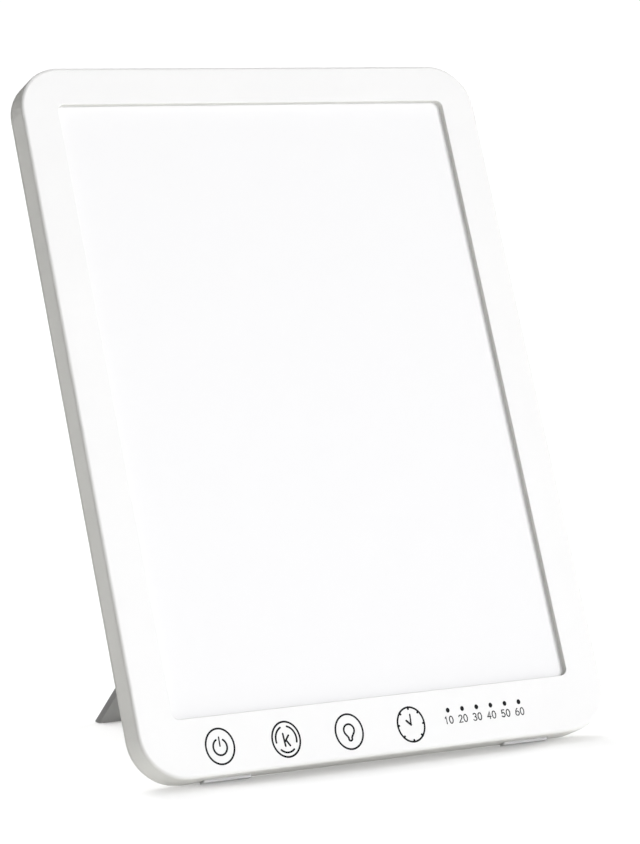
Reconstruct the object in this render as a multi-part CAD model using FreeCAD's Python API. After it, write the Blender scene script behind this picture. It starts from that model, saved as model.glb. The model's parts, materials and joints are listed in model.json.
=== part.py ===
import FreeCAD, Part
import math
import os

# Light therapy lamp: a flat lamp case that leans back on a fold-out stand.
#
# The case is drawn upright. X runs across it, Z runs up it from the lower edge, and Y runs
# through it: the front face lies at y = -CASE_DEPTH and the back of the rim at y = 0.
# The stand is drawn folded flat into the back. build() then opens the stand against its stop,
# leans everything back until the feet and the stand meet the floor, and puts the origin on the
# floor, at the middle of the lamp's footprint. All sizes are millimetres.

# Case
CASE_WIDTH = 180.0
CASE_HEIGHT = 250.0
CASE_DEPTH = 11.0
CASE_CORNER = 16.0
FRONT_EDGE_ROUND = 1.2
REAR_EDGE_ROUND = 0.7
FACE_WALL = 1.8
SIDE_WALL = 1.8
SEAM = 0.25
RIM_THICKNESS = 1.2
COVER_WALL = 1.7
LOCATING_GAP = 0.1

# Window in the front face
SIDE_BORDER = 13.5
TOP_BORDER = 13.7
BOTTOM_BORDER = 20.0
WINDOW_CORNER = 2.5
WINDOW_EDGE_ROUND = 0.35

# Light stack, from the window inwards
STACK_OVERLAP = 3.0
TAPE_THICKNESS = 0.3
TAPE_WIDTH = 2.2
DIFFUSER_THICKNESS = 1.5
PRISM_FILM = 0.25
GUIDE_THICKNESS = 3.0
REFLECTOR_FILM = 0.25
TRAY_SHEET = 0.8
STRIP_BOARD = 1.0
LED_LENGTH = 5.6
LED_WIDTH = 2.2
LED_HEIGHT = 1.2
LED_PITCH = 9.6
LED_GAP = 0.2

# Control board behind the lower border
BOARD_THICKNESS = 1.2
BOARD_LOW = 6.6
BOARD_TOP_GAP = 0.3
BOARD_STANDOFF = 3.0
BOARD_SIDE_GAP = 13.2
KEY_FIRST_X = -61.7
KEY_PITCH = 24.07
KEY_HEIGHT = 9.4
KEY_COUNT = 4
KEY_NAMES = ("power", "colour", "brightness", "timer")
SPRING_RADIUS = 2.4
SPRING_WIRE = 0.25
SPRING_TURNS = 3
SPRING_GAP = 0.05
LAMP_FIRST_X = 25.75
LAMP_PITCH = 5.7
LAMP_HEIGHT = 12.75
LAMP_COUNT = 6
LAMP_LENGTH = 1.6
LAMP_WIDTH = 0.8
LAMP_THICKNESS = 0.6
PIPE_RADIUS = 0.7
PIPE_BAR = 0.8
PIPE_BAR_WIDTH = 3.0
BOARD_SCREW_X = (-49.6, 18.2)
BOARD_SCREW_END = 5.0
BOARD_SCREW_Z = 11.6
BOARD_SCREW_RADIUS = 0.8
BOARD_SCREW_HEAD = 1.5
BOARD_SCREW_HEAD_THICKNESS = 0.8
BOARD_SCREW_LENGTH = 3.4
BOARD_BOSS_RADIUS = 1.9
CHIP_SIZE = 5.0
CHIP_HEIGHT = 1.0
COIL_SIZE = 6.0
COIL_HEIGHT = 1.5
COIL_ROUND = 1.0
COIL_INSET = 33.2
CAPACITOR_RADIUS = 1.4
CAPACITOR_LENGTH = 6.0
CAPACITOR_GROOVE = 0.14
CAPACITOR_GROOVE_WIDTH = 0.35
CAPACITOR_GROOVE_PLACE = 0.75
CAPACITOR_INSET = 23.2
CONNECTOR_INSET = 8.3
CONNECTOR_LENGTH = 5.0
CONNECTOR_WIDTH = 2.4
CONNECTOR_HEIGHT = 2.2
CONNECTOR_GAP = 0.2
LEAD_RADIUS = 0.45
LEAD_HEIGHT = 22.0
LEAD_REACH = 2.2
LEAD_NOTCH = 6.0
LEAD_BEND = 0.45

# Power inlet in the right wall
JACK_HEIGHT = 12.6
JACK_INSET = 1.9
JACK_LENGTH = 11.0
JACK_WIDTH = 7.4
JACK_THICKNESS = 6.6
JACK_BORE_RADIUS = 2.85
JACK_BORE_DEPTH = 9.2
JACK_PIN_RADIUS = 1.05
JACK_PIN_LENGTH = 7.6
JACK_PIN_ROUND = 0.5
JACK_TAB = 0.3
JACK_TAB_WIDTH = 1.6
JACK_TAB_LENGTH = 2.6
JACK_TAB_SIDE = 2.4
INLET_RADIUS = 3.2
INLET_SLEEVE = 1.0

# Case screws
SCREW_RADIUS = 1.0
SCREW_HEAD_RADIUS = 1.9
SCREW_HEAD_THICKNESS = 0.9
SCREW_LENGTH = 7.2
SCREW_CLEARANCE = 0.1
SCREW_SLOT = 0.5
SCREW_SLOT_REACH = 1.14
BOSS_RADIUS = 2.2
BOSS_MERGE = 0.5
SIDE_SCREW_END = 40.0
TOP_SCREW_SIDE = 45.0
BOTTOM_SCREW_SIDE = 24.0

# Raised platform on the back
PLATFORM_MARGIN = 11.0
PLATFORM_DRAFT = 3.5
PLATFORM_CORNER = 12.0
RIB_THICKNESS = 1.3
RIB_MARGIN = 14.0
CROSS_RIB_DROP = (43.0, 81.0)
VENT_COUNT = 9
VENT_PITCH = 9.0
VENT_WIDTH = 2.2
VENT_HEIGHT = 14.0
VENT_ROUND = 1.08
VENT_TOP_MARGIN = 32.0

# Stand and hinge
HINGE_HEIGHT = 130.0
STAND_REACH = 125.9
OPEN_ANGLE = 44.1
POCKET_FLOOR = -1.4
POCKET_WALL = 1.5
HINGE_DROP = 3.25
STOP_GAP = 0.05
BARREL_RADIUS = 3.0
BARREL_LENGTH = 14.0
KNUCKLE_LENGTH = 7.0
KNUCKLE_FOOT = 3.0
PIN_RADIUS = 1.4
PIN_CHAMFER = 0.23
PIN_FIT = 0.02
PIN_RUNNING_FIT = 0.05
WASHER_THICKNESS = 0.3
WASHER_RADIUS = 2.8
WASHER_GAP = 0.05
PLATE_THICKNESS = 3.4
PLATE_FLUSH = 0.15
PLATE_EDGE_ROUND = 0.7
STAND_TOP_HALF = 44.2
STAND_WAIST_HALF = 47.7
STAND_WAIST_RISE = 23.0
STAND_FOOT_HALF = 58.1
STAND_FOOT_ROUND = 0.9
STAND_WAIST_ROUND = 26.0
STAND_ARM_BELOW = 4.4
ARCH_HALF = 47.0
ARCH_RISE = 13.0
SOLE_RISE = 0.3
RECESS_GAP = 0.7
RECESS_FLOOR_GAP = 0.4
POCKET_HALF_HEIGHT = 4.7
HEEL_WIDTH = 2.0
HEEL_FOOT = 2.8

# Rubber feet
PAD_FLAT = 0.2
CASE_PAD_SIDE = 32.0
CASE_PAD_LENGTH = 18.0
CASE_PAD_DEPTH = 3.4
CASE_PAD_INSET = 1.5
CASE_PAD_DROP = 0.8
CASE_PAD_SUNK = 0.5
CASE_PAD_ROUND = 0.8
STAND_PAD_SIDE = 1.4
STAND_PAD_LENGTH = 7.0
STAND_PAD_INSET = 0.6
STAND_PAD_SUNK = 1.4

# Places that follow from the sizes above. The lean puts the case pads and the foot of the open
# stand on one floor, and the floor's height is the one that presses the pads flat.
case_half = CASE_WIDTH / 2
inner_half = case_half - SIDE_WALL
inner_low = SIDE_WALL
inner_high = CASE_HEIGHT - SIDE_WALL
inner_corner = CASE_CORNER - SIDE_WALL
front = -CASE_DEPTH
face_back = front + FACE_WALL
wall_end = -RIM_THICKNESS - SEAM
cover_inside = -COVER_WALL
window_half = case_half - SIDE_BORDER
window_low = BOTTOM_BORDER
window_high = CASE_HEIGHT - TOP_BORDER
stack_half = window_half + STACK_OVERLAP
stack_low = window_low - STACK_OVERLAP
stack_high = window_high + STACK_OVERLAP
diffuser_front = face_back + TAPE_THICKNESS
prism_front = diffuser_front + DIFFUSER_THICKNESS
guide_front = prism_front + PRISM_FILM
reflector_front = guide_front + GUIDE_THICKNESS
tray_front = reflector_front + REFLECTOR_FILM
tray_back = tray_front + TRAY_SHEET
led_outer = stack_half + LED_GAP + LED_HEIGHT
strip_outer = led_outer + STRIP_BOARD
tray_half = strip_outer + TRAY_SHEET
board_front = face_back + BOARD_STANDOFF
board_back = board_front + BOARD_THICKNESS
board_high = stack_low - BOARD_TOP_GAP
jack_mouth = inner_half - JACK_INSET
jack_rear = jack_mouth - JACK_LENGTH
board_left = BOARD_SIDE_GAP - inner_half
board_right = jack_rear - LOCATING_GAP
board_screw_x = BOARD_SCREW_X + (board_right - BOARD_SCREW_END,)
connector_x = jack_rear - CONNECTOR_INSET
inlet_y = (board_front + board_back) / 2
hinge_y = POCKET_FLOOR + HINGE_DROP
plate_back = hinge_y + BARREL_RADIUS - STOP_GAP
plate_front = plate_back - PLATE_THICKNESS
platform_top = plate_back + PLATE_FLUSH
platform_half = case_half - PLATFORM_MARGIN
platform_low = PLATFORM_MARGIN
platform_high = CASE_HEIGHT - PLATFORM_MARGIN
platform_roof = platform_top - COVER_WALL
recess_floor = plate_front - RECESS_FLOOR_GAP
open_turn = math.radians(OPEN_ANGLE)
foot_y = hinge_y + (plate_front - hinge_y) * math.cos(open_turn) + STAND_REACH * math.sin(open_turn)
foot_z = HINGE_HEIGHT + (plate_front - hinge_y) * math.sin(open_turn) - STAND_REACH * math.cos(open_turn)
lean = math.atan2(foot_z + CASE_PAD_DROP, foot_y + CASE_PAD_INSET)
floor = CASE_PAD_INSET * math.sin(lean) - CASE_PAD_DROP * math.cos(lean) + PAD_FLAT
foot_end = HINGE_HEIGHT - STAND_REACH - PLATE_THICKNESS * math.tan(open_turn - lean)
waist_z = foot_end + STAND_WAIST_RISE
plate_top = HINGE_HEIGHT - STAND_ARM_BELOW
pocket_low = HINGE_HEIGHT - POCKET_HALF_HEIGHT
pocket_high = HINGE_HEIGHT + POCKET_HALF_HEIGHT
pocket_half = STAND_TOP_HALF + RECESS_GAP
barrel_outer = STAND_TOP_HALF
barrel_inner = barrel_outer - BARREL_LENGTH
knuckle_outer = barrel_inner - WASHER_THICKNESS - 2 * WASHER_GAP
knuckle_inner = knuckle_outer - KNUCKLE_LENGTH
key_x = [KEY_FIRST_X + i * KEY_PITCH for i in range(KEY_COUNT)]
chip_x = (key_x[1] + key_x[2]) / 2
lamp_x = [LAMP_FIRST_X + i * LAMP_PITCH for i in range(LAMP_COUNT)]
boss_inset = BOSS_RADIUS - BOSS_MERGE
side_screw_z = (SIDE_SCREW_END, CASE_HEIGHT / 2, CASE_HEIGHT - SIDE_SCREW_END)
screw_places = [(side * (inner_half - boss_inset), z) for side in (-1, 1) for z in side_screw_z]
screw_places += [(side * (case_half - TOP_SCREW_SIDE), inner_high - boss_inset) for side in (-1, 1)]
screw_places += [(side * (case_half - BOTTOM_SCREW_SIDE), inner_low + boss_inset) for side in (-1, 1)]
cross_rib_z = [platform_high - drop for drop in CROSS_RIB_DROP]

ALONG_X = FreeCAD.Vector(1, 0, 0)
ALONG_Y = FreeCAD.Vector(0, 1, 0)


def vector(x, y, z):
    return FreeCAD.Vector(x, y, z)


def block(x0, x1, y0, y1, z0, z1):
    """A box between two opposite corners."""
    return Part.makeBox(x1 - x0, y1 - y0, z1 - z0, vector(x0, y0, z0))


def rod(radius, start, axis, length):
    return Part.makeCylinder(radius, length, start, axis)


def join(shapes):
    """One solid from shapes that touch or overlap."""
    return shapes[0].multiFuse(shapes[1:]).removeSplitter()


def group(shapes):
    """Separate solids kept in one node."""
    return Part.makeCompound(shapes)


def mirrored(shape):
    """The same shape on the other side of the case's middle plane."""
    return shape.mirror(vector(0, 0, 0), ALONG_X)


def outline(corners, y):
    """A closed wire at depth y through (x, z, radius) corners, each rounded by its radius."""
    count = len(corners)
    starts = []
    ends = []
    middles = []
    for i, (x, z, radius) in enumerate(corners):
        corner = vector(x, y, z)
        before = vector(corners[i - 1][0], y, corners[i - 1][1]) - corner
        after = vector(corners[(i + 1) % count][0], y, corners[(i + 1) % count][1]) - corner
        before.normalize()
        after.normalize()
        half = before.getAngle(after) / 2
        reach = radius / math.tan(half)
        bisector = before + after
        bisector.normalize()
        starts.append(corner + before * reach)
        ends.append(corner + after * reach)
        middles.append(corner + bisector * (radius / math.sin(half) - radius))
    edges = []
    for i in range(count):
        if corners[i][2] > 0:
            edges.append(Part.Arc(starts[i], middles[i], ends[i]).toShape())
        edges.append(Part.LineSegment(ends[i], starts[(i + 1) % count]).toShape())
    return Part.Wire(edges)


def prism(corners, y0, y1):
    """The outline through the corners, drawn out from depth y0 to y1."""
    return Part.Face(outline(corners, y0)).extrude(vector(0, y1 - y0, 0))


def rectangle(half, low, high, radius):
    """Corners of a rounded rectangle, the same distance left and right of the middle."""
    return [(-half, low, radius), (half, low, radius), (half, high, radius), (-half, high, radius)]


def slab(half, low, high, radius, y0, y1):
    return prism(rectangle(half, low, high, radius), y0, y1)


def round_edges(shape, y, radius, keep=None):
    """Rounds the edges that lie whole in the plane at depth y."""
    flat = [e for e in shape.Edges if abs(e.BoundBox.YMin - y) < 1e-4 and abs(e.BoundBox.YMax - y) < 1e-4]
    if keep:
        flat = [e for e in flat if keep(e)]
    return shape.makeFillet(radius, flat)


def front_bezel():
    """Front frame with its side wall, window, screw bosses, board bosses, pad seats and inlet hole."""
    frame = slab(case_half, 0, CASE_HEIGHT, CASE_CORNER, front, wall_end)
    frame = round_edges(frame, front, FRONT_EDGE_ROUND)
    frame = frame.cut(slab(inner_half, inner_low, inner_high, inner_corner, face_back, 0))
    window = slab(window_half, window_low, window_high, WINDOW_CORNER, front, face_back)
    frame = frame.cut(window)
    frame = round_edges(frame, front, WINDOW_EDGE_ROUND, lambda e: abs(e.CenterOfMass.x) <= window_half)
    bosses = []
    pilots = []
    boss_end = cover_inside - LOCATING_GAP
    for x, z in screw_places:
        bosses.append(rod(BOSS_RADIUS, vector(x, face_back, z), ALONG_Y, boss_end - face_back))
        pilot_length = SCREW_LENGTH + SCREW_CLEARANCE
        pilot_start = screw_seat() - pilot_length
        pilots.append(rod(SCREW_RADIUS, vector(x, pilot_start, z), ALONG_Y, pilot_length))
    for x in board_screw_x:
        place_at = vector(x, face_back, BOARD_SCREW_Z)
        bosses.append(rod(BOARD_BOSS_RADIUS, place_at, ALONG_Y, BOARD_STANDOFF))
        pilots.append(rod(BOARD_SCREW_RADIUS, place_at, ALONG_Y, BOARD_STANDOFF))
    inlet_start = vector(jack_mouth, inlet_y, JACK_HEIGHT)
    inlet = rod(INLET_RADIUS, inlet_start, ALONG_X, case_half)
    sleeve = rod(INLET_RADIUS + INLET_SLEEVE, inlet_start, ALONG_X, JACK_INSET + SIDE_WALL / 2)
    cavity = slab(case_half - SIDE_WALL / 2, 0, CASE_HEIGHT, CASE_CORNER, face_back - SIDE_WALL / 2, boss_end)
    pads = [case_pad_block(side) for side in (-1, 1)]
    return join([frame, sleeve.common(cavity)] + bosses).cut(group(pilots + pads + [inlet]))


def window_tape():
    outer = slab(window_half + TAPE_WIDTH, window_low - TAPE_WIDTH, window_high + TAPE_WIDTH,
                 WINDOW_CORNER, face_back, diffuser_front)
    inner = slab(window_half, window_low, window_high, WINDOW_CORNER, face_back, diffuser_front)
    return outer.cut(inner)


def stack_sheet(y0, y1):
    return block(-stack_half, stack_half, y0, y1, stack_low, stack_high)


def backing_tray():
    """Folded aluminium sheet that backs the stack and cools the two lamp strips."""
    sheet = block(-tray_half, tray_half, tray_front, tray_back, stack_low, stack_high)
    flange = block(strip_outer, tray_half, prism_front, tray_back, stack_low, stack_high)
    notch = block(strip_outer, tray_half, prism_front, tray_front,
                  LEAD_HEIGHT - LEAD_NOTCH / 2, LEAD_HEIGHT + LEAD_NOTCH / 2)
    flange = flange.cut(notch)
    return join([sheet, flange, mirrored(flange)])


def led_strip():
    """Circuit strip on the inside of the tray's right flange."""
    return block(led_outer, strip_outer, prism_front, tray_front, stack_low, stack_high)


def led_packages():
    length = stack_high - stack_low
    count = int((length - LED_LENGTH) // LED_PITCH) + 1
    first = (stack_low + stack_high) / 2 - (count - 1) * LED_PITCH / 2
    middle = (guide_front + reflector_front) / 2
    leds = []
    for i in range(count):
        z = first + i * LED_PITCH
        leds.append(block(led_outer - LED_HEIGHT, led_outer, middle - LED_WIDTH / 2, middle + LED_WIDTH / 2,
                          z - LED_LENGTH / 2, z + LED_LENGTH / 2))
    return group(leds)


def control_board():
    board = block(board_left, board_right, board_front, board_back, BOARD_LOW, board_high)
    holes = []
    for x in board_screw_x:
        start = vector(x, board_front, BOARD_SCREW_Z)
        holes.append(rod(BOARD_SCREW_RADIUS + SCREW_CLEARANCE, start, ALONG_Y, BOARD_THICKNESS))
    return board.cut(group(holes))


def coil_path(radius, height, turns):
    """A helix about +Z from its foot, as one arc for each quarter turn."""
    def place(angle):
        rise = height * angle / (2 * math.pi * turns)
        return vector(radius * math.cos(angle), radius * math.sin(angle), rise)

    quarter = math.pi / 2
    arcs = []
    for i in range(4 * turns):
        begin = i * quarter
        arcs.append(Part.Arc(place(begin), place(begin + quarter / 2), place(begin + quarter)).toShape())
    return Part.Wire(arcs)


def touch_spring(x):
    """Coil spring between the board and the inside of the front face, one under each key."""
    height = BOARD_STANDOFF - 2 * SPRING_WIRE - 2 * SPRING_GAP
    path = coil_path(SPRING_RADIUS - SPRING_WIRE, height, SPRING_TURNS)
    first = path.Edges[0]
    start = first.valueAt(first.FirstParameter)
    section = Part.Wire(Part.makeCircle(SPRING_WIRE, start, first.tangentAt(first.FirstParameter)))
    coil = path.makePipeShell([section], True, False)
    coil.rotate(vector(0, 0, 0), ALONG_X, -90)
    coil.translate(vector(x, face_back + SPRING_GAP + SPRING_WIRE, KEY_HEIGHT))
    return coil


def indicator_lamps():
    lamps = []
    for x in lamp_x:
        lamps.append(block(x - LAMP_LENGTH / 2, x + LAMP_LENGTH / 2, board_front - LAMP_THICKNESS, board_front,
                           LAMP_HEIGHT - LAMP_WIDTH / 2, LAMP_HEIGHT + LAMP_WIDTH / 2))
    return group(lamps)


def light_pipes():
    """Clear bar behind the front face with one short pipe for each indicator lamp."""
    margin = LAMP_PITCH / 2
    bar = block(lamp_x[0] - margin, lamp_x[-1] + margin, face_back, face_back + PIPE_BAR,
                LAMP_HEIGHT - PIPE_BAR_WIDTH / 2, LAMP_HEIGHT + PIPE_BAR_WIDTH / 2)
    reach = BOARD_STANDOFF - LAMP_THICKNESS - LOCATING_GAP
    pipes = [rod(PIPE_RADIUS, vector(x, face_back, LAMP_HEIGHT), ALONG_Y, reach) for x in lamp_x]
    return join([bar] + pipes)


def board_screws():
    screws = []
    for x in board_screw_x:
        head = rod(BOARD_SCREW_HEAD, vector(x, board_back, BOARD_SCREW_Z), ALONG_Y, BOARD_SCREW_HEAD_THICKNESS)
        tip = vector(x, board_back - BOARD_SCREW_LENGTH, BOARD_SCREW_Z)
        screws.append(join([head, rod(BOARD_SCREW_RADIUS, tip, ALONG_Y, BOARD_SCREW_LENGTH)]))
    return group(screws)


def on_board(x, width, height, thickness):
    """A square-sided component that stands on the back of the board, half way up it."""
    middle = (BOARD_LOW + board_high) / 2
    return block(x - width / 2, x + width / 2, board_back, board_back + thickness,
                 middle - height / 2, middle + height / 2)


def driver_coil():
    body = on_board(board_right - COIL_INSET, COIL_SIZE, COIL_SIZE, COIL_HEIGHT)
    edges = [e for e in body.Edges if abs(e.tangentAt(e.FirstParameter).y) > 0.99]
    return body.makeFillet(COIL_ROUND, edges)


def driver_capacitor():
    """Small can capacitor lying on the board along X."""
    middle = (BOARD_LOW + board_high) / 2
    left = board_right - CAPACITOR_INSET - CAPACITOR_LENGTH / 2
    start = vector(left, board_back + CAPACITOR_RADIUS, middle)
    can = rod(CAPACITOR_RADIUS, start, ALONG_X, CAPACITOR_LENGTH)
    groove_at = vector(start.x + CAPACITOR_GROOVE_PLACE, start.y, start.z)
    ring = rod(CAPACITOR_RADIUS, groove_at, ALONG_X, CAPACITOR_GROOVE_WIDTH)
    ring = ring.cut(rod(CAPACITOR_RADIUS - CAPACITOR_GROOVE, groove_at, ALONG_X, CAPACITOR_GROOVE_WIDTH))
    return can.cut(ring)


def lead_connector():
    """Wire-to-board connector for the lead of the right strip."""
    high = board_high - CONNECTOR_GAP
    return block(connector_x - CONNECTOR_LENGTH / 2, connector_x + CONNECTOR_LENGTH / 2,
                 board_back, board_back + CONNECTOR_HEIGHT, high - CONNECTOR_WIDTH, high)


def tube(points, radius):
    """A tube along straight runs joined by tangent arcs as wide as the shorter run allows."""
    edges = []
    begin = points[0]
    for i in range(1, len(points) - 1):
        corner = points[i]
        back = points[i - 1] - corner
        ahead = points[i + 1] - corner
        reach = LEAD_BEND * min(back.Length, ahead.Length)
        back.normalize()
        ahead.normalize()
        half = back.getAngle(ahead) / 2
        bend = reach * math.tan(half)
        bisector = back + ahead
        bisector.normalize()
        arc_start = corner + back * reach
        arc_end = corner + ahead * reach
        arc_middle = corner + bisector * (bend / math.sin(half) - bend)
        edges.append(Part.LineSegment(begin, arc_start).toShape())
        edges.append(Part.Arc(arc_start, arc_middle, arc_end).toShape())
        begin = arc_end
    edges.append(Part.LineSegment(begin, points[-1]).toShape())
    section = Part.Wire(Part.makeCircle(radius, points[0], points[1] - points[0]))
    return Part.Wire(edges).makePipeShell([section], True, False)


def strip_lead():
    """Lead from the right strip, through its notch and behind the tray, to its connector."""
    low = (tray_front + prism_front) / 2
    behind = (tray_back + cover_inside) / 2
    turn_x = strip_outer + LEAD_REACH
    entry_x = connector_x + CONNECTOR_LENGTH / 2 + LOCATING_GAP
    entry_y = board_back + CONNECTOR_HEIGHT - 2 * LEAD_RADIUS
    entry_z = board_high - CONNECTOR_GAP - CONNECTOR_WIDTH / 2
    points = [vector(strip_outer + LOCATING_GAP, low, LEAD_HEIGHT),
              vector(turn_x, low, LEAD_HEIGHT),
              vector(turn_x, behind, LEAD_HEIGHT - LEAD_REACH / 2),
              vector(entry_x + 2 * LEAD_REACH, behind, stack_low - LEAD_RADIUS),
              vector(entry_x + LEAD_REACH, entry_y, entry_z),
              vector(entry_x, entry_y, entry_z)]
    return tube(points, LEAD_RADIUS)


def dc_jack():
    """Barrel jack whose mouth lies flush with the inside of the right wall."""
    y0 = inlet_y - JACK_THICKNESS / 2
    y1 = inlet_y + JACK_THICKNESS / 2
    z0 = JACK_HEIGHT - JACK_WIDTH / 2
    z1 = JACK_HEIGHT + JACK_WIDTH / 2
    body = block(jack_rear, jack_mouth, y0, y1, z0, z1)
    bore_start = vector(jack_mouth - JACK_BORE_DEPTH, inlet_y, JACK_HEIGHT)
    body = body.cut(rod(JACK_BORE_RADIUS, bore_start, ALONG_X, JACK_BORE_DEPTH))
    tabs = []
    for offset in (-1, 1):
        z = JACK_HEIGHT + offset * JACK_TAB_SIDE
        tabs.append(block(jack_rear - JACK_TAB_LENGTH, jack_rear, board_back, board_back + JACK_TAB,
                          z - JACK_TAB_WIDTH / 2, z + JACK_TAB_WIDTH / 2))
    return join([body] + tabs)


def dc_jack_pin():
    start = vector(jack_mouth - JACK_BORE_DEPTH, inlet_y, JACK_HEIGHT)
    pin = rod(JACK_PIN_RADIUS, start, ALONG_X, JACK_PIN_LENGTH)
    tip = [e for e in pin.Edges if abs(e.BoundBox.XMin - start.x - JACK_PIN_LENGTH) < 1e-3]
    return pin.makeFillet(JACK_PIN_ROUND, tip)


def screw_seat():
    """Depth of the shoulder that a case screw's head bears on."""
    return -SCREW_HEAD_THICKNESS - SCREW_CLEARANCE


def case_screws():
    """Case screws with a cross recess in each head."""
    screws = []
    for x, z in screw_places:
        seat = screw_seat()
        head = rod(SCREW_HEAD_RADIUS, vector(x, seat, z), ALONG_Y, SCREW_HEAD_THICKNESS)
        shank = rod(SCREW_RADIUS, vector(x, seat - SCREW_LENGTH, z), ALONG_Y, SCREW_LENGTH)
        top = seat + SCREW_HEAD_THICKNESS
        reach = SCREW_SLOT_REACH
        half = SCREW_SLOT / 2
        across = block(x - reach, x + reach, top - SCREW_SLOT, top, z - half, z + half)
        upright = block(x - half, x + half, top - SCREW_SLOT, top, z - reach, z + reach)
        screws.append(join([head, shank]).cut(join([across, upright])))
    return group(screws)


def stand_corners(grow):
    """Outline of the folded stand without its arch, grown evenly for the recess round it."""
    low = foot_end - grow
    foot = STAND_FOOT_HALF + grow
    waist = STAND_WAIST_HALF + grow
    top = STAND_TOP_HALF + grow
    high = HINGE_HEIGHT + grow
    right = [(foot, low, STAND_FOOT_ROUND + grow), (waist, waist_z, STAND_WAIST_ROUND), (top, high, 0)]
    left = [(-x, z, radius) for x, z, radius in reversed(right)]
    return right + left


def platform(inset, y0, y1):
    """The drafted platform on the back, or its hollow when inset by the wall."""
    grow = PLATFORM_DRAFT * y0 / platform_top
    far = PLATFORM_DRAFT * y1 / platform_top
    wires = []
    for shrink, y in ((inset + grow, y0), (inset + far, y1)):
        corners = rectangle(platform_half - shrink, platform_low + shrink, platform_high - shrink,
                            PLATFORM_CORNER - shrink)
        wires.append(outline(corners, y))
    return Part.makeLoft(wires, True, True)


def hinge_knuckle():
    """Fixed knuckle that stands on the pocket floor and holds the inner end of the right pin."""
    barrel = rod(BARREL_RADIUS, vector(knuckle_inner, hinge_y, HINGE_HEIGHT), ALONG_X, KNUCKLE_LENGTH)
    foot = block(knuckle_inner, knuckle_outer, POCKET_FLOOR, hinge_y,
                 HINGE_HEIGHT - KNUCKLE_FOOT, HINGE_HEIGHT + KNUCKLE_FOOT)
    return join([barrel, foot])


def rear_cover():
    """Moulded back: rim, raised platform, stand recess, hinge knuckles, ribs, vents, screw seats."""
    rim = slab(case_half, 0, CASE_HEIGHT, CASE_CORNER, -RIM_THICKNESS, 0)
    rim = round_edges(rim, 0, REAR_EDGE_ROUND)
    step = slab(inner_half - LOCATING_GAP, inner_low + LOCATING_GAP, inner_high - LOCATING_GAP,
                inner_corner - LOCATING_GAP, cover_inside, -RIM_THICKNESS)
    shell = join([rim, step, platform(0, 0, platform_top)])
    shell = shell.cut(platform(COVER_WALL, cover_inside, platform_roof))

    hull = join([platform(0, 0, platform_top), slab(platform_half, platform_low, platform_high,
                                                    PLATFORM_CORNER, POCKET_FLOOR - POCKET_WALL, 0)])
    tray_wall = prism(stand_corners(RECESS_GAP + POCKET_WALL), recess_floor - POCKET_WALL, platform_top)
    pocket_tub = block(-pocket_half - POCKET_WALL, pocket_half + POCKET_WALL, POCKET_FLOOR - POCKET_WALL,
                       platform_top, pocket_low - POCKET_WALL, pocket_high + POCKET_WALL)
    tub = join([tray_wall, pocket_tub]).common(hull)

    rib_end = tray_back + LOCATING_GAP
    rib_x = platform_half - RIB_MARGIN
    ribs = [block(side * rib_x - RIB_THICKNESS / 2, side * rib_x + RIB_THICKNESS / 2, rib_end, platform_roof,
                  platform_low + RIB_MARGIN, platform_high - RIB_MARGIN) for side in (-1, 1)]
    for z in cross_rib_z:
        ribs.append(block(-rib_x, rib_x, rib_end, platform_roof, z - RIB_THICKNESS / 2, z + RIB_THICKNESS / 2))
    ribs = join(ribs)
    recess = prism(stand_corners(RECESS_GAP), recess_floor, platform_top + COVER_WALL)
    pocket = block(-pocket_half, pocket_half, POCKET_FLOOR, platform_top + COVER_WALL, pocket_low, pocket_high)
    cover = join([shell, tub, ribs]).cut(join([recess, pocket]))

    cover = join([cover, hinge_knuckle(), mirrored(hinge_knuckle())])
    pin_hole = rod(PIN_RADIUS + PIN_FIT, vector(pin_start(), hinge_y, HINGE_HEIGHT), ALONG_X,
                   pocket_half + POCKET_WALL - pin_start())
    cuts = [pin_hole, mirrored(pin_hole)]
    for x, z in screw_places:
        seat = screw_seat()
        cuts.append(rod(SCREW_HEAD_RADIUS + SCREW_CLEARANCE, vector(x, seat, z), ALONG_Y, COVER_WALL))
        cuts.append(rod(SCREW_RADIUS + SCREW_CLEARANCE, vector(x, cover_inside, z), ALONG_Y, COVER_WALL))
    vent_high = platform_high - VENT_TOP_MARGIN + VENT_HEIGHT
    for i in range(VENT_COUNT):
        x = (i - (VENT_COUNT - 1) / 2) * VENT_PITCH
        left = x - VENT_WIDTH / 2
        right = x + VENT_WIDTH / 2
        vent_low = vent_high - VENT_HEIGHT
        corners = [(left, vent_low, VENT_ROUND), (right, vent_low, VENT_ROUND),
                   (right, vent_high, VENT_ROUND), (left, vent_high, VENT_ROUND)]
        cuts.append(prism(corners, platform_roof - COVER_WALL, platform_top + COVER_WALL))
    return cover.cut(group(cuts))


def pin_start():
    """Inner end of the right hinge pin, half way into its fixed knuckle."""
    return knuckle_inner + KNUCKLE_LENGTH / 2


def hinge_pin():
    length = pocket_half + POCKET_WALL - pin_start()
    pin = rod(PIN_RADIUS, vector(pin_start(), hinge_y, HINGE_HEIGHT), ALONG_X, length)
    ends = [e for e in pin.Edges if e.BoundBox.XLength < 1e-3]
    return pin.makeChamfer(PIN_CHAMFER, ends)


def hinge_washers():
    start = vector(knuckle_outer + WASHER_GAP, hinge_y, HINGE_HEIGHT)
    washer = rod(WASHER_RADIUS, start, ALONG_X, WASHER_THICKNESS)
    washer = washer.cut(rod(PIN_RADIUS + PIN_FIT, start, ALONG_X, WASHER_THICKNESS))
    return group([washer, mirrored(washer)])


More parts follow.
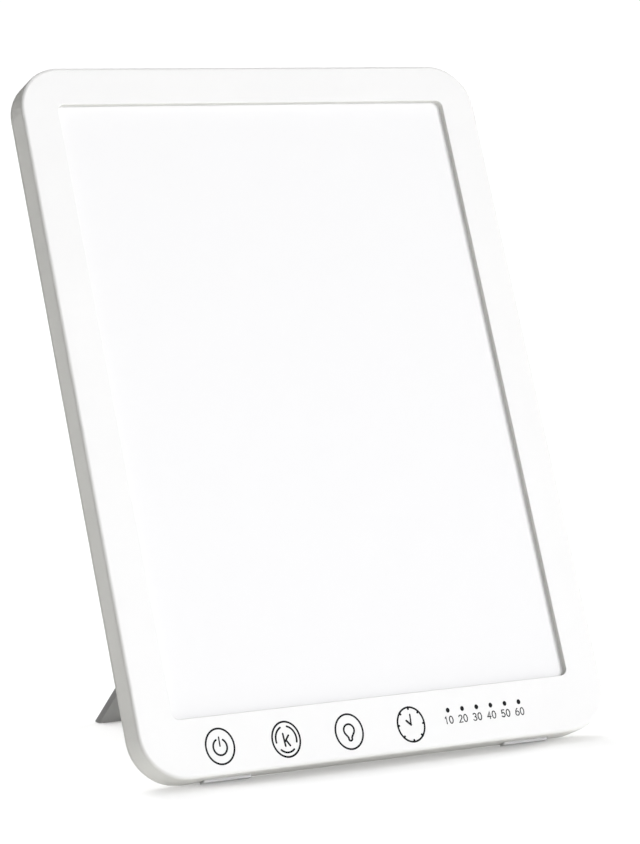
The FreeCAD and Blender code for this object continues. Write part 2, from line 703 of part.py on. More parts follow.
def stand_barrel():
    """Right hinge barrel, its arm down to the plate and the heel that stops it when open."""
    barrel = rod(BARREL_RADIUS, vector(barrel_inner, hinge_y, HINGE_HEIGHT), ALONG_X, BARREL_LENGTH)
    arm = block(barrel_inner, barrel_outer, plate_front, plate_back, plate_top - BARREL_RADIUS, HINGE_HEIGHT)
    stop = HINGE_DROP - STOP_GAP
    points = [(0, 0), (-stop, 0), (-stop, HEEL_WIDTH), (0, HEEL_FOOT), (0, 0)]
    wire = Part.makePolygon([vector(barrel_inner, hinge_y + y, HINGE_HEIGHT + z) for y, z in points])
    heel = Part.Face(wire).extrude(vector(BARREL_LENGTH, 0, 0))
    heel.rotate(vector(0, hinge_y, HINGE_HEIGHT), ALONG_X, -OPEN_ANGLE)
    return join([barrel, arm, heel])


def stand_plate():
    """Folded stand: tapered plate with flared feet, an arch between them and two hinge barrels."""
    plate = prism(stand_corners(0), plate_front, plate_back)
    above = block(-2 * STAND_FOOT_HALF, 2 * STAND_FOOT_HALF, plate_front, plate_back,
                  plate_top, HINGE_HEIGHT + BARREL_RADIUS)
    arch_radius = (ARCH_HALF ** 2 + ARCH_RISE ** 2) / (2 * ARCH_RISE)
    arch = rod(arch_radius, vector(0, plate_front, foot_end + ARCH_RISE - arch_radius), ALONG_Y, PLATE_THICKNESS)
    plate = plate.cut(above).cut(arch)
    plate = round_edges(plate, plate_back, PLATE_EDGE_ROUND)
    pads = [stand_pad_block(side) for side in (-1, 1)]
    plate = plate.cut(group(pads))
    stand = join([plate, stand_barrel(), mirrored(stand_barrel())])
    bore_length = BARREL_LENGTH + 2 * WASHER_THICKNESS
    bore_start = vector(barrel_inner - WASHER_THICKNESS, hinge_y, HINGE_HEIGHT)
    bore = rod(PIN_RADIUS + PIN_RUNNING_FIT, bore_start, ALONG_X, bore_length)
    return stand.cut(group([bore, mirrored(bore)]))


def stand_pad_block(side):
    """Rubber pad let into the sole of one foot of the stand, longer than the floor leaves it."""
    inner = ARCH_HALF + STAND_PAD_SIDE
    outer = inner + STAND_PAD_LENGTH
    x0, x1 = sorted((side * inner, side * outer))
    return block(x0, x1, plate_front + STAND_PAD_INSET, plate_back - STAND_PAD_INSET,
                 foot_end - STAND_PAD_SUNK, HINGE_HEIGHT - STAND_REACH + STAND_PAD_SUNK)


def case_pad_block(side):
    """Rubber pad let into the lower wall of the case, near its back."""
    x0 = side * (case_half - CASE_PAD_SIDE) - CASE_PAD_LENGTH / 2
    pad = block(x0, x0 + CASE_PAD_LENGTH, -CASE_PAD_INSET - CASE_PAD_DEPTH, -CASE_PAD_INSET,
                -CASE_PAD_DROP, CASE_PAD_SUNK)
    ends = [e for e in pad.Edges if abs(e.tangentAt(e.FirstParameter).z) > 0.99]
    return pad.makeFillet(CASE_PAD_ROUND, ends)


def opened(shape):
    """Swings a folded shape of the stand out to its stop."""
    turned = shape.copy()
    turned.rotate(vector(0, hinge_y, HINGE_HEIGHT), ALONG_X, OPEN_ANGLE)
    return turned


def leaned(shape):
    """Leans a shape of the upright case back and stands it on the floor."""
    turned = shape.copy()
    turned.rotate(vector(0, 0, 0), ALONG_X, -math.degrees(lean))
    turned.translate(vector(0, 0, -floor))
    return turned


def cut_level(shape, level):
    """Cuts away all of a shape that reaches below a level over the floor."""
    box = shape.BoundBox
    below = block(box.XMin - 1, box.XMax + 1, box.YMin - 1, box.YMax + 1, box.ZMin - 1, level)
    return shape.cut(below)


def build():
    """Every node of the lamp, in its place on the floor with the stand open."""
    fixed = {
        "front_bezel": front_bezel(),
        "window_tape": window_tape(),
        "diffuser_panel": stack_sheet(diffuser_front, prism_front),
        "prism_film": stack_sheet(prism_front, guide_front),
        "light_guide_plate": stack_sheet(guide_front, reflector_front),
        "reflector_film": stack_sheet(reflector_front, tray_front),
        "backing_tray": backing_tray(),
        "led_strip_left": mirrored(led_strip()),
        "led_strip_right": led_strip(),
        "led_packages_left": mirrored(led_packages()),
        "led_packages_right": led_packages(),
        "control_board": control_board(),
        "indicator_lamps": indicator_lamps(),
        "indicator_light_pipes": light_pipes(),
        "board_screws": board_screws(),
        "controller_chip": on_board(chip_x, CHIP_SIZE, CHIP_SIZE, CHIP_HEIGHT),
        "driver_coil": driver_coil(),
        "driver_capacitor": driver_capacitor(),
        "lead_connector_left": mirrored(lead_connector()),
        "lead_connector_right": lead_connector(),
        "strip_lead_left": mirrored(strip_lead()),
        "strip_lead_right": strip_lead(),
        "dc_jack": dc_jack(),
        "dc_jack_pin": dc_jack_pin(),
        "rear_cover": rear_cover(),
        "case_screws": case_screws(),
        "hinge_pin_left": mirrored(hinge_pin()),
        "hinge_pin_right": hinge_pin(),
        "hinge_washers": hinge_washers(),
    }
    for name, x in zip(KEY_NAMES, key_x):
        fixed["touch_spring_" + name] = touch_spring(x)
    nodes = {name: leaned(shape) for name, shape in fixed.items()}
    nodes["case_foot_left"] = cut_level(leaned(case_pad_block(-1)), 0)
    nodes["case_foot_right"] = cut_level(leaned(case_pad_block(1)), 0)
    nodes["stand_plate"] = cut_level(leaned(opened(stand_plate())), SOLE_RISE)
    nodes["stand_foot_left"] = cut_level(leaned(opened(stand_pad_block(-1))), 0)
    nodes["stand_foot_right"] = cut_level(leaned(opened(stand_pad_block(1))), 0)
    boxes = [shape.optimalBoundingBox(False) for shape in nodes.values()]
    middle = (min(b.YMin for b in boxes) + max(b.YMax for b in boxes)) / 2
    for shape in nodes.values():
        shape.translate(vector(0, -middle, 0))
    return nodes, middle


def report(middle):
    """Prints the places that a record of the lamp needs."""
    def placed(x, y, z):
        down = vector(0, y * math.cos(lean) + z * math.sin(lean), z * math.cos(lean) - y * math.sin(lean))
        return tuple(round(v, 4) for v in (x, down.y - middle, down.z - floor))

    print("lean", round(math.degrees(lean), 3), "floor", round(floor, 4), "middle", round(middle, 4))
    print("hinge axis", placed(0, hinge_y, HINGE_HEIGHT))
    print("inlet", placed(case_half, inlet_y, JACK_HEIGHT), "inner wall x", inner_half)
    print("panel front lower left", placed(-case_half, front, 0))
    print("panel front upper right", placed(case_half, front, CASE_HEIGHT))


def main():
    os.makedirs("parts", exist_ok=True)
    nodes, middle = build()
    for name, shape in nodes.items():
        if not shape.isValid():
            print("not valid:", name)
        shape.exportStep(os.path.join("parts", name + ".step"))
    report(middle)
    print(len(nodes), "nodes")


main()
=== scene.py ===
import json
import math

import bmesh
import bpy
from mathutils import Euler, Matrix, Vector


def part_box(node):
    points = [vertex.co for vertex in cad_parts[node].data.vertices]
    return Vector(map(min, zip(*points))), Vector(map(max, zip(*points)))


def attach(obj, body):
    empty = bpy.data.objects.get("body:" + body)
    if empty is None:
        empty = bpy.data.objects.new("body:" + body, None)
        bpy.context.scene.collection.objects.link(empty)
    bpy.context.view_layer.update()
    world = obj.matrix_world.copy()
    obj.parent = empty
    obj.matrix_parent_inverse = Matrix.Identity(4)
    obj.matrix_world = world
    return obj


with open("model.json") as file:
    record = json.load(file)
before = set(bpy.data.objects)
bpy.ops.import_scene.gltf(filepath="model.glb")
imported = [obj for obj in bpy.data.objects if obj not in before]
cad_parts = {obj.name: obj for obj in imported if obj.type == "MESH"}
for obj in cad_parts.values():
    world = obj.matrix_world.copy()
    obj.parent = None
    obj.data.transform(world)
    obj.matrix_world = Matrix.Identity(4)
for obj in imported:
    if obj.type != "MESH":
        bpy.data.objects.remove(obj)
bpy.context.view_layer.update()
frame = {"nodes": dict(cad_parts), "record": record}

# The looks of a light therapy lamp: a white lamp case that leans back on a grey stand, whose grey is made
# darker as painted shade.
# Places are in metres. What is printed on the front face is drawn in millimetres, across and up
# from the middle of its key, and then laid on the face.

MM = 0.001

# Camera, at the photograph's angle
CAMERA_PLACE = (-0.51519, -0.94562, 0.24239)
CAMERA_AZIMUTH = 28.776
CAMERA_DROP = 6.966
CAMERA_LENS = 133.26

# Light; azimuth 0 is from the front and 90 from the right, and softness is a sun's width in degrees
SKY_LEVEL = 0.04
BACKDROP_LEVEL = 1.05
BACKDROP_RADIUS = 8.0
BACKDROP_SPLITS = 5
SUN_SOFTNESS = 35.0
MAIN_STRENGTH = 3.5
MAIN_AZIMUTH = 30.0
MAIN_ELEVATION = 25.0
MAIN_COLOUR = (1.0, 1.007, 1.07)
REAR_STRENGTH = 1.2
REAR_AZIMUTH = 180.0
REAR_ELEVATION = 55.0
LOW_POWER = 0.03
LOW_PLACE = (-0.25, 0.0, 0.03)
LOW_SIZE = 0.1
FILL_STRENGTH = 0.92

# Lamps that light only the floor: azimuth, elevation, strength and softness
FLOOR_LAMPS = {
    "dome_light": (0.0, 90.0, 1.72, 120.0),
    "back_light": (185.0, 45.0, 0.81, 30.0),
    "right_light": (98.0, 7.0, 3.2, 15.0),
    "left_light": (262.0, 7.0, 3.4, 15.0),
}
FLOOR_HALF = 9.0
FLOOR_TONE = 0.9

# Surfaces: the opal's glow, partly light from inside and partly painted light that lifts the shade under
# the window's rim; sheen; and how deep each kind's fine relief is in metres
OPAL_GLOW_AND_SHADE_LIFT = 0.25
SHEEN_SPREAD = 0.06
PLASTIC_RELIEF = 0.00004
METAL_RELIEF = 0.00003
RUBBER_RELIEF = 0.00006
FOAM_RELIEF = 0.0001
BOARD_RELIEF = 0.00005
INK_RELIEF = 0.00001
INK_DARK = (0.003, 0.003, 0.003)
INK_LIGHT = (0.009, 0.009, 0.009)
WHITE = (1, 1, 1, 1)
BLACK = (0, 0, 0, 1)

# Print on the front face, in millimetres
INK_RISE = 0.02
INK_SUNK = 0.02
LINE = 0.66
THIN_LINE = 0.38
RING_WIDTH = 10.3
RING_HEIGHT = 11.95
DOT_WIDTH = 1.45
DOT_HEIGHT = 1.75
DIGIT_WIDTH = 1.35
DIGIT_HEIGHT = 2.45
DIGIT_STEP = 1.95
DIGIT_SHIFT = -0.35
DIGIT_DROP = 3.4
LAMP_LENGTH = 1.6
LAMP_COUNT = 6
CLOCK_MARKS = 8
CLOCK_MARK_START = 0.9

# How far the print sits from the springs and lamps behind it, across and up, in millimetres
KEY_SHIFTS = {
    "power": (0.1, 0.1),
    "colour": (0.5, -0.2),
    "brightness": (0.35, -0.2),
    "timer": (0.25, -0.3),
}
SCALE_SHIFT = (0.25, -0.3)

# How finely the print is drawn: degrees in one step of an arc, and steps and degrees of a round end
ARC_STEP = 9
FEWEST_STEPS = 4
CAP_STEPS = 4
CAP_TURN = 85

# The least that a bend's cosine counts, so that a sharp corner doesn't grow a long spike
LEAST_BEND = 0.5


def case_axes():
    """Unit vectors out of the front face and up along it, read from the flat opal panel."""
    panel = frame["nodes"]["diffuser_panel"].data
    out = max(panel.polygons, key=lambda p: p.area).normal.copy()
    if out.y > 0:
        out.negate()
    return out, out.cross(Vector((1, 0, 0)))


face_out, face_up = case_axes()
face_front = max(v.co.dot(face_out) for v in frame["nodes"]["front_bezel"].data.vertices)


def node_middle(node):
    low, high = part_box(node)
    return (low + high) / 2


def on_face(point):
    """The place on the front face straight in front of a point inside the case."""
    return point + face_out * (face_front - point.dot(face_out))


def moved_on_face(point, shift):
    """A place on the face moved across and up by millimetres."""
    across, up = shift
    return point + (Vector((across, 0, 0)) + face_up * up) * MM


# Materials


def new_material(name):
    """A material with its node tree, its shader and its object coordinates."""
    material = bpy.data.materials.new(name)
    material.use_nodes = True
    tree = material.node_tree
    shader = tree.nodes["Principled BSDF"]
    place = tree.nodes.new("ShaderNodeTexCoord").outputs["Object"]
    return material, tree, shader, place


def noise(tree, place, scale, detail=3.0, roughness=0.5):
    node = tree.nodes.new("ShaderNodeTexNoise")
    node.inputs["Scale"].default_value = scale
    node.inputs["Detail"].default_value = detail
    node.inputs["Roughness"].default_value = roughness
    tree.links.new(place, node.inputs["Vector"])
    return node.outputs["Fac"]


def spread(tree, value, low, high):
    """Maps a value of 0 to 1 onto low to high."""
    node = tree.nodes.new("ShaderNodeMapRange")
    node.inputs["To Min"].default_value = low
    node.inputs["To Max"].default_value = high
    tree.links.new(value, node.inputs["Value"])
    return node.outputs["Result"]


def tinted(tree, value, dark, light):
    """A colour between two, by a value of 0 to 1."""
    node = tree.nodes.new("ShaderNodeMix")
    node.data_type = "RGBA"
    node.inputs["A"].default_value = (*dark, 1)
    node.inputs["B"].default_value = (*light, 1)
    tree.links.new(value, node.inputs["Factor"])
    return node.outputs["Result"]


def bumped(tree, shader, height, strength, distance):
    node = tree.nodes.new("ShaderNodeBump")
    node.inputs["Strength"].default_value = strength
    node.inputs["Distance"].default_value = distance
    tree.links.new(height, node.inputs["Height"])
    tree.links.new(node.outputs["Normal"], shader.inputs["Normal"])


def moulded(name, tone, roughness, grain=2600.0, depth=0.15, mottle=0.015, gloss=0.5):
    """Moulded plastic: a fine spark-eroded grain, and a faint unevenness of colour and sheen."""
    material, tree, shader, place = new_material(name)
    cloudy = noise(tree, place, 45.0, 4.0)
    grains = noise(tree, place, grain, 2.0, 0.6)
    dark = [c * (1 - mottle) for c in tone]
    light = [min(1.0, c * (1 + mottle)) for c in tone]
    tree.links.new(tinted(tree, cloudy, dark, light), shader.inputs["Base Color"])
    sheen = spread(tree, grains, roughness - SHEEN_SPREAD, roughness + SHEEN_SPREAD)
    tree.links.new(sheen, shader.inputs["Roughness"])
    shader.inputs["Specular IOR Level"].default_value = gloss
    bumped(tree, shader, grains, depth, PLASTIC_RELIEF)
    return material


def opal(name, tone, glow_and_shade_lift):
    """Opal sheet: moulded, very even, and faintly lit from inside; the glow is also painted light that
    lifts the shade under the window's rim.
    """
    material = moulded(name, tone, 0.45, 3600.0, 0.08, 0.004, 0.2)
    shader = material.node_tree.nodes["Principled BSDF"]
    shader.inputs["Emission Color"].default_value = WHITE
    shader.inputs["Emission Strength"].default_value = glow_and_shade_lift
    return material


def metal(name, tone, roughness, along=(1.0, 1.0, 1.0), streak=900.0):
    """Metal with fine streaks; along stretches them on one axis."""
    material, tree, shader, place = new_material(name)
    mapping = tree.nodes.new("ShaderNodeMapping")
    mapping.inputs["Scale"].default_value = along
    tree.links.new(place, mapping.inputs["Vector"])
    streaks = noise(tree, mapping.outputs["Vector"], streak, 4.0, 0.6)
    dark = [c * 0.88 for c in tone]
    tree.links.new(tinted(tree, streaks, dark, tone), shader.inputs["Base Color"])
    tree.links.new(spread(tree, streaks, roughness - 0.08, roughness + 0.1), shader.inputs["Roughness"])
    shader.inputs["Metallic"].default_value = 1.0
    bumped(tree, shader, streaks, 0.2, METAL_RELIEF)
    return material


def soft_rubber(name, tone):
    material, tree, shader, place = new_material(name)
    grains = noise(tree, place, 1800.0, 3.0, 0.7)
    dark = [c * 0.9 for c in tone]
    tree.links.new(tinted(tree, grains, dark, tone), shader.inputs["Base Color"])
    tree.links.new(spread(tree, grains, 0.7, 0.9), shader.inputs["Roughness"])
    bumped(tree, shader, grains, 0.3, RUBBER_RELIEF)
    return material


def closed_foam(name, tone):
    material, tree, shader, place = new_material(name)
    cells = tree.nodes.new("ShaderNodeTexVoronoi")
    cells.inputs["Scale"].default_value = 3500.0
    tree.links.new(place, cells.inputs["Vector"])
    dark = [c * 0.8 for c in tone]
    tree.links.new(tinted(tree, cells.outputs["Distance"], dark, tone), shader.inputs["Base Color"])
    shader.inputs["Roughness"].default_value = 0.9
    bumped(tree, shader, cells.outputs["Distance"], 0.4, FOAM_RELIEF)
    return material


def clear_acrylic(name):
    """Light guide acrylic with a grid of printed dots that throw the light out."""
    material, tree, shader, place = new_material(name)
    dots = tree.nodes.new("ShaderNodeTexVoronoi")
    dots.inputs["Scale"].default_value = 700.0
    dots.inputs["Randomness"].default_value = 0.15
    tree.links.new(place, dots.inputs["Vector"])
    printed = tree.nodes.new("ShaderNodeMath")
    printed.operation = "LESS_THAN"
    printed.inputs[1].default_value = 0.3
    tree.links.new(dots.outputs["Distance"], printed.inputs[0])
    colour = tinted(tree, printed.outputs[0], (0.80, 0.88, 0.90), (0.95, 0.95, 0.95))
    tree.links.new(colour, shader.inputs["Base Color"])
    tree.links.new(spread(tree, printed.outputs[0], 0.08, 0.6), shader.inputs["Roughness"])
    shader.inputs["Transmission Weight"].default_value = 0.6
    shader.inputs["IOR"].default_value = 1.49
    return material


def circuit_board(name, mask, track, scale):
    """Solder mask with copper tracks that show through it."""
    material, tree, shader, place = new_material(name)
    tracks = tree.nodes.new("ShaderNodeTexBrick")
    tracks.inputs["Scale"].default_value = scale
    tracks.inputs["Mortar Size"].default_value = 0.03
    tracks.inputs["Color1"].default_value = (*mask, 1)
    tracks.inputs["Color2"].default_value = (*[c * 0.85 for c in mask], 1)
    tracks.inputs["Mortar"].default_value = (*track, 1)
    tree.links.new(place, tracks.inputs["Vector"])
    tree.links.new(tracks.outputs["Color"], shader.inputs["Base Color"])
    grains = noise(tree, place, 1500.0)
    tree.links.new(spread(tree, grains, 0.28, 0.42), shader.inputs["Roughness"])
    bumped(tree, shader, tracks.outputs["Fac"], 0.3, BOARD_RELIEF)
    return material


def printed_ink(name):
    """Matt screen-printed ink with pinholes too small to see one by one."""
    material, tree, shader, place = new_material(name)
    grains = noise(tree, place, 5000.0, 2.0, 0.7)
    tree.links.new(tinted(tree, grains, INK_DARK, INK_LIGHT), shader.inputs["Base Color"])
    tree.links.new(spread(tree, grains, 0.5, 0.7), shader.inputs["Roughness"])
    shader.inputs["Specular IOR Level"].default_value = 0.1
    bumped(tree, shader, grains, 0.15, INK_RELIEF)
    return material


def slot_materials():
    """One material for each material slot of the record."""
    return {
        "white_shell": moulded("white_shell", (0.665, 0.66, 0.628), 0.4, gloss=0.2),
        # the stand's grey is partly its own and partly painted shade, made darker for the shade on its
        # face behind the case
        "grey_stand": moulded("grey_stand", (0.32, 0.319, 0.312), 0.5, 2000.0, 0.3, 0.05),
        # the opal's glow is partly painted light that fills the shade under the window's rim
        "opal_sheet": opal("opal_sheet", (0.49, 0.486, 0.468), OPAL_GLOW_AND_SHADE_LIFT),
        "clear_acrylic": clear_acrylic("clear_acrylic"),
        "white_film": moulded("white_film", (0.88, 0.88, 0.88), 0.3, 4000.0, 0.05, 0.005),
        "foam_tape": closed_foam("foam_tape", (0.8, 0.8, 0.8)),
        "tray_sheet": metal("tray_sheet", (0.72, 0.73, 0.74), 0.38, (0.05, 1.0, 1.0)),
        "green_board": circuit_board("green_board", (0.01, 0.12, 0.04), (0.02, 0.2, 0.06), 90.0),
        "white_board": circuit_board("white_board", (0.8, 0.8, 0.77), (0.66, 0.64, 0.58), 60.0),
        "led_phosphor": moulded("led_phosphor", (0.86, 0.62, 0.12), 0.25, 3000.0, 0.1, 0.05),
        "black_component": moulded("black_component", (0.012, 0.012, 0.013), 0.45, 2400.0, 0.25, 0.1),
        "capacitor_can": metal("capacitor_can", (0.7, 0.71, 0.72), 0.25, (0.1, 1.0, 1.0)),
        "spring_steel": metal("spring_steel", (0.66, 0.62, 0.55), 0.22),
        "screw_steel": metal("screw_steel", (0.58, 0.58, 0.6), 0.3),
        "pin_steel": metal("pin_steel", (0.64, 0.64, 0.66), 0.2, (0.1, 1.0, 1.0)),
        "nickel_contact": metal("nickel_contact", (0.75, 0.73, 0.68), 0.15),
        "nylon_washer": moulded("nylon_washer", (0.75, 0.73, 0.66), 0.4),
        "lead_insulation": moulded("lead_insulation", (0.5, 0.02, 0.015), 0.4, 1500.0, 0.1),
        "connector_shell": moulded("connector_shell", (0.8, 0.78, 0.7), 0.35),
        # grey rubber, its tone set to match the shade under the lower edge: partly painted shade
        "foot_rubber": soft_rubber("foot_rubber", (0.6, 0.6, 0.59)),
        "printed_ink": printed_ink("printed_ink"),
    }


def dress_frame(materials):
    """Gives each CAD node the material of its slot in the record."""
    for part in frame["record"]["subparts"]:
        node = frame["nodes"][part["node"]]
        node.data.materials.clear()
        node.data.materials.append(materials[part["material_slot"]])


# Print


def arc(across, up, half_width, half_height, begin, end):
    """Points along an ellipse from one angle to another, in degrees from the right."""
    count = max(FEWEST_STEPS, round(abs(end - begin) / ARC_STEP))
    angles = [math.radians(begin + (end - begin) * i / count) for i in range(count + 1)]
    return [Vector((across + half_width * math.cos(a), up + half_height * math.sin(a))) for a in angles]


def path(*points):
    return [Vector(p) for p in points]


def sections(points, width, closed):
    """Middle, sideways direction and half width of each cross-section of a band of ink."""
    count = len(points)
    found = []
    for i, point in enumerate(points):
        before = points[i - 1] if closed or i > 0 else point
        after = points[(i + 1) % count] if closed or i < count - 1 else point
        inward = (point - before).normalized() if point != before else Vector((0, 0))
        onward = (after - point).normalized() if after != point else Vector((0, 0))
        along = (inward + onward).normalized()
        side = Vector((-along.y, along.x))
        turn = max(LEAST_BEND, side.dot(Vector((-onward.y, onward.x))) if onward.length else 1.0)
        found.append((point, side, width / 2 / turn))
    if closed:
        return found
    return round_end(found[0], -1, width)[::-1] + found + round_end(found[-1], 1, width)


def round_end(section, way, width):
    """Cross-sections that round off the end of a band."""
    point, side, _ = section
    along = Vector((side.y, -side.x)) * way
    caps = []
    for i in range(1, CAP_STEPS + 1):
        angle = math.radians(CAP_TURN) * i / CAP_STEPS
        caps.append((point + along * math.sin(angle) * width / 2, side, math.cos(angle) * width / 2))
    return caps


class Print:
    """Flat ink on the front face, drawn in millimetres from a middle on the face."""

    def __init__(self, name, middle):
        self.name = name
        self.middle = middle
        self.mesh = bmesh.new()

    def corner(self, point, rise):
        place = self.middle + (Vector((point.x, 0, 0)) + face_up * point.y + face_out * rise) * MM
        return self.mesh.verts.new(place)

    def band(self, points, width=LINE, closed=False):
        rings = []
        for point, side, half in sections(points, width, closed):
            left = point + side * half
            right = point - side * half
            rings.append([self.corner(left, -INK_SUNK), self.corner(right, -INK_SUNK),
                          self.corner(right, INK_RISE), self.corner(left, INK_RISE)])
        pairs = list(zip(rings, rings[1:]))
        if closed:
            pairs.append((rings[-1], rings[0]))
        else:
            self.mesh.faces.new(rings[0])
            self.mesh.faces.new(rings[-1][::-1])
        for first, second in pairs:
            for i in range(4):
                j = (i + 1) % 4
                self.mesh.faces.new((first[i], second[i], second[j], first[j]))

    def spot(self, across, up, width, height):
        """A filled oval."""
        outline = arc(across, up, width / 2, height / 2, 0, 360)[:-1]
        low = [self.corner(p, -INK_SUNK) for p in outline]
        high = [self.corner(p, INK_RISE) for p in outline]
        self.mesh.faces.new(low[::-1])
        self.mesh.faces.new(high)
        for i in range(len(outline)):
            j = (i + 1) % len(outline)
            self.mesh.faces.new((low[i], low[j], high[j], high[i]))

    def ring(self):
        """The round outline that every touch key has."""
        self.band(arc(0, 0, RING_WIDTH / 2, RING_HEIGHT / 2, 0, 360)[:-1], closed=True)

    def done(self, material):
        bmesh.ops.recalc_face_normals(self.mesh, faces=self.mesh.faces)
        mesh = bpy.data.meshes.new(self.name)
        self.mesh.to_mesh(mesh)
        self.mesh.free()
        mesh.materials.append(material)
        piece = bpy.data.objects.new(self.name, mesh)
        bpy.context.scene.collection.objects.link(piece)
        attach(piece, "case")


def key_print(key):
    """The print of one key, over its spring and moved a little, as printed."""
    middle = on_face(node_middle("touch_spring_" + key))
    return Print("key_print_" + key, moved_on_face(middle, KEY_SHIFTS[key]))


def power_print(ink):
    icon = key_print("power")
    icon.ring()
    icon.band(arc(0, -0.2, 2.5, 2.75, 116, 416))
    icon.band(path((0.05, 3.1), (0, 0.1)), 0.5)
    icon.done(ink)


def colour_print(ink):
    """The light colour key: a k inside a broken ring."""
    icon = key_print("colour")
    icon.ring()
    for begin, end in ((112, 190), (-16, 74), (229, 306)):
        icon.band(arc(0, 0, 3.85, 4.45, begin, end))
    icon.band(path((-0.9, 2.0), (-0.65, -2.2)), 0.65)
    icon.band(path((1.05, 1.25), (-0.45, -0.6)), 0.65)
    icon.band(path((-0.1, -0.3), (1.1, -2.25)), 0.65)
    icon.done(ink)


def brightness_print(ink):
    """The brightness key: the outline of a lamp bulb."""
    icon = key_print("brightness")
    icon.ring()
    globe = arc(0, 0.55, 1.95, 2.0, -42, 222)
    base = arc(0, -2.55, 0.62, 0.55, 180, 360)
    left_neck = path((-0.8, -1.75), (-0.62, -2.1))
    right_neck = path((0.62, -2.1), (0.8, -1.75))
    icon.band(globe + left_neck + base + right_neck, closed=True)
    icon.done(ink)


def timer_print(ink):
    """The timer key: a clock face with eight marks and two hands."""
    icon = key_print("timer")
    icon.ring()
    for i in range(CLOCK_MARKS):
        angle = math.radians(360 / CLOCK_MARKS * i)
        rim = Vector((RING_WIDTH / 2 * math.cos(angle), RING_HEIGHT / 2 * math.sin(angle)))
        icon.band([rim, rim * CLOCK_MARK_START], 0.75)
    icon.band(path((0.25, 3.45), (0, -0.1)), 0.55)
    icon.band(path((-1.55, 1.45), (0, -0.1)), 0.75)
    icon.done(ink)


def digit_bands(digit):
    """The lines of a digit in a box one unit half wide and one unit half high."""
    oval = arc(0, 0, 1, 1, 0, 360)[:-1]
    return {
        "0": [(oval, True)],
        "1": [(path((-0.45, 0.55), (0.15, 1), (0.15, -1)), False)],
        "2": [(arc(0, 0.45, 0.9, 0.55, 165, -35) + path((-0.95, -1), (1, -1)), False)],
        "3": [(arc(-0.05, 0.5, 0.85, 0.5, 150, -90), False), (arc(-0.05, -0.5, 1, 0.5, 90, -155), False)],
        "4": [(path((0.45, -1), (0.45, 1), (-1, -0.4), (1, -0.4)), False)],
        "5": [(path((0.8, 1), (-0.65, 1), (-0.8, 0.1)) + arc(-0.05, -0.38, 1, 0.6, 125, -150), False)],
        "6": [(arc(0, -0.4, 1, 0.6, 0, 360)[:-1], True), (arc(1.0, -0.3, 1.95, 1.35, 112, 180), False)],
    }[digit]


def timer_scale(ink):
    """Six indicator dots, and the minutes under them."""
    low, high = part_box("indicator_lamps")
    first = on_face(node_middle("indicator_lamps"))
    first.x = low.x + LAMP_LENGTH / 2 * MM
    first = moved_on_face(first, SCALE_SHIFT)
    step = (high.x - low.x - LAMP_LENGTH * MM) / (LAMP_COUNT - 1) / MM
    dots = Print("indicator_dots", first)
    minutes = Print("timer_minutes", first)
    for i in range(LAMP_COUNT):
        dots.spot(step * i, 0, DOT_WIDTH, DOT_HEIGHT)
        for column, digit in enumerate(str(10 * (i + 1))):
            across = step * i + DIGIT_SHIFT + (column - 0.5) * DIGIT_STEP
            middle = Vector((across, -DIGIT_DROP))
            for points, closed in digit_bands(digit):
                drawn = [middle + Vector((p.x * DIGIT_WIDTH / 2, p.y * DIGIT_HEIGHT / 2)) for p in points]
                minutes.band(drawn, THIN_LINE, closed)
    dots.done(ink)
    minutes.done(ink)


# Stage


def add_sun(name, azimuth, elevation, strength, softness, colour=(1, 1, 1)):
    """A distant light from a compass direction: 0 is from the front, 90 from the right."""
    light = bpy.data.lights.new(name, "SUN")
    light.color = colour
    light.energy = strength
    light.angle = math.radians(softness)
    sun = bpy.data.objects.new(name, light)
    sun.rotation_euler = Euler((math.radians(90 - elevation), 0, math.radians(azimuth)))
    bpy.context.scene.collection.objects.link(sun)
    return sun


def add_low_light():
    """A small lamp low on the left, for the lower part of the left wall."""
    light = bpy.data.lights.new("low_light", "AREA")
    light.energy = LOW_POWER
    light.size = LOW_SIZE
    lamp = bpy.data.objects.new("low_light", light)
    lamp.location = LOW_PLACE
    lamp.rotation_euler = Euler((math.radians(90), 0, math.radians(-90)))
    bpy.context.scene.collection.objects.link(lamp)
    return lamp


def link_floor(light, floor, state):
    """Lets a light reach only the floor, or everything but the floor."""
    reach = bpy.data.collections.new(light.name + "_reach")
    reach.objects.link(floor)
    reach.collection_objects[0].light_linking.link_state = state
    light.light_linking.receiver_collection = reach


def stage_floor():
    mesh = bpy.data.meshes.new("floor")
    half = FLOOR_HALF
    corners = [(-half, -half, 0), (half, -half, 0), (half, half, 0), (-half, half, 0)]
    mesh.from_pydata(corners, [], [(0, 1, 2, 3)])
    material, _, shader, _ = new_material("pale_floor")
    shader.inputs["Base Color"].default_value = (FLOOR_TONE, FLOOR_TONE, FLOOR_TONE, 1)
    shader.inputs["Roughness"].default_value = 1.0
    shader.inputs["Specular IOR Level"].default_value = 0.0
    mesh.materials.append(material)
    floor = bpy.data.objects.new("floor", mesh)
    bpy.context.scene.collection.objects.link(floor)
    return floor


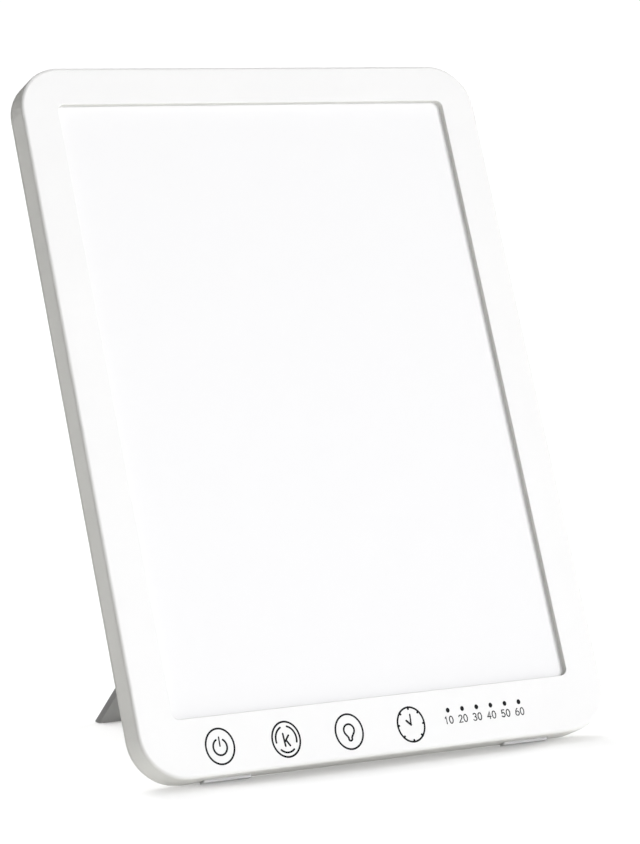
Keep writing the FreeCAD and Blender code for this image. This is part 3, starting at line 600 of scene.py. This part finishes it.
def stage_lights(floor):
    """Three soft lights that leave out the floor, and those that light only the floor."""
    front = add_sun("key_light", MAIN_AZIMUTH, MAIN_ELEVATION, MAIN_STRENGTH, SUN_SOFTNESS, MAIN_COLOUR)
    rear = add_sun("rear_light", REAR_AZIMUTH, REAR_ELEVATION, REAR_STRENGTH, SUN_SOFTNESS)
    low = add_low_light()
    for light in (front, rear, low):
        link_floor(light, floor, "EXCLUDE")
    fill = add_sun("fill_light", 0, 90, FILL_STRENGTH, SUN_SOFTNESS)
    fill.data.use_shadow = False
    link_floor(fill, floor, "INCLUDE")
    for name, (azimuth, elevation, strength, softness) in FLOOR_LAMPS.items():
        link_floor(add_sun(name, azimuth, elevation, strength, softness), floor, "INCLUDE")


def stage_backdrop():
    """A white dome that the camera sees, and that throws no light or shade of its own."""
    shell = bmesh.new()
    bmesh.ops.create_icosphere(shell, subdivisions=BACKDROP_SPLITS, radius=BACKDROP_RADIUS)
    mesh = bpy.data.meshes.new("backdrop")
    shell.to_mesh(mesh)
    shell.free()
    material, _, shader, _ = new_material("white_backdrop")
    shader.inputs["Base Color"].default_value = BLACK
    shader.inputs["Specular IOR Level"].default_value = 0.0
    shader.inputs["Emission Color"].default_value = WHITE
    shader.inputs["Emission Strength"].default_value = BACKDROP_LEVEL
    mesh.materials.append(material)
    backdrop = bpy.data.objects.new("backdrop", mesh)
    backdrop.visible_diffuse = False
    backdrop.visible_glossy = False
    backdrop.visible_transmission = False
    backdrop.visible_shadow = False
    bpy.context.scene.collection.objects.link(backdrop)


def stage_world():
    """The dim room round the lamp."""
    world = bpy.data.worlds.new("studio")
    world.use_nodes = True
    background = world.node_tree.nodes["Background"]
    background.inputs["Color"].default_value = WHITE
    background.inputs["Strength"].default_value = SKY_LEVEL
    bpy.context.scene.world = world


def stage_camera():
    camera = bpy.data.objects.new("camera", bpy.data.cameras.new("camera"))
    camera.data.lens = CAMERA_LENS
    camera.location = CAMERA_PLACE
    camera.rotation_euler = Euler((math.radians(90 - CAMERA_DROP), 0, math.radians(-CAMERA_AZIMUTH)))
    bpy.context.scene.collection.objects.link(camera)
    bpy.context.scene.camera = camera


def main():
    materials = slot_materials()
    dress_frame(materials)
    ink = materials["printed_ink"]
    power_print(ink)
    colour_print(ink)
    brightness_print(ink)
    timer_print(ink)
    timer_scale(ink)
    floor = stage_floor()
    stage_lights(floor)
    stage_backdrop()
    stage_world()
    stage_camera()
    bpy.context.scene.view_settings.view_transform = "Standard"


main()
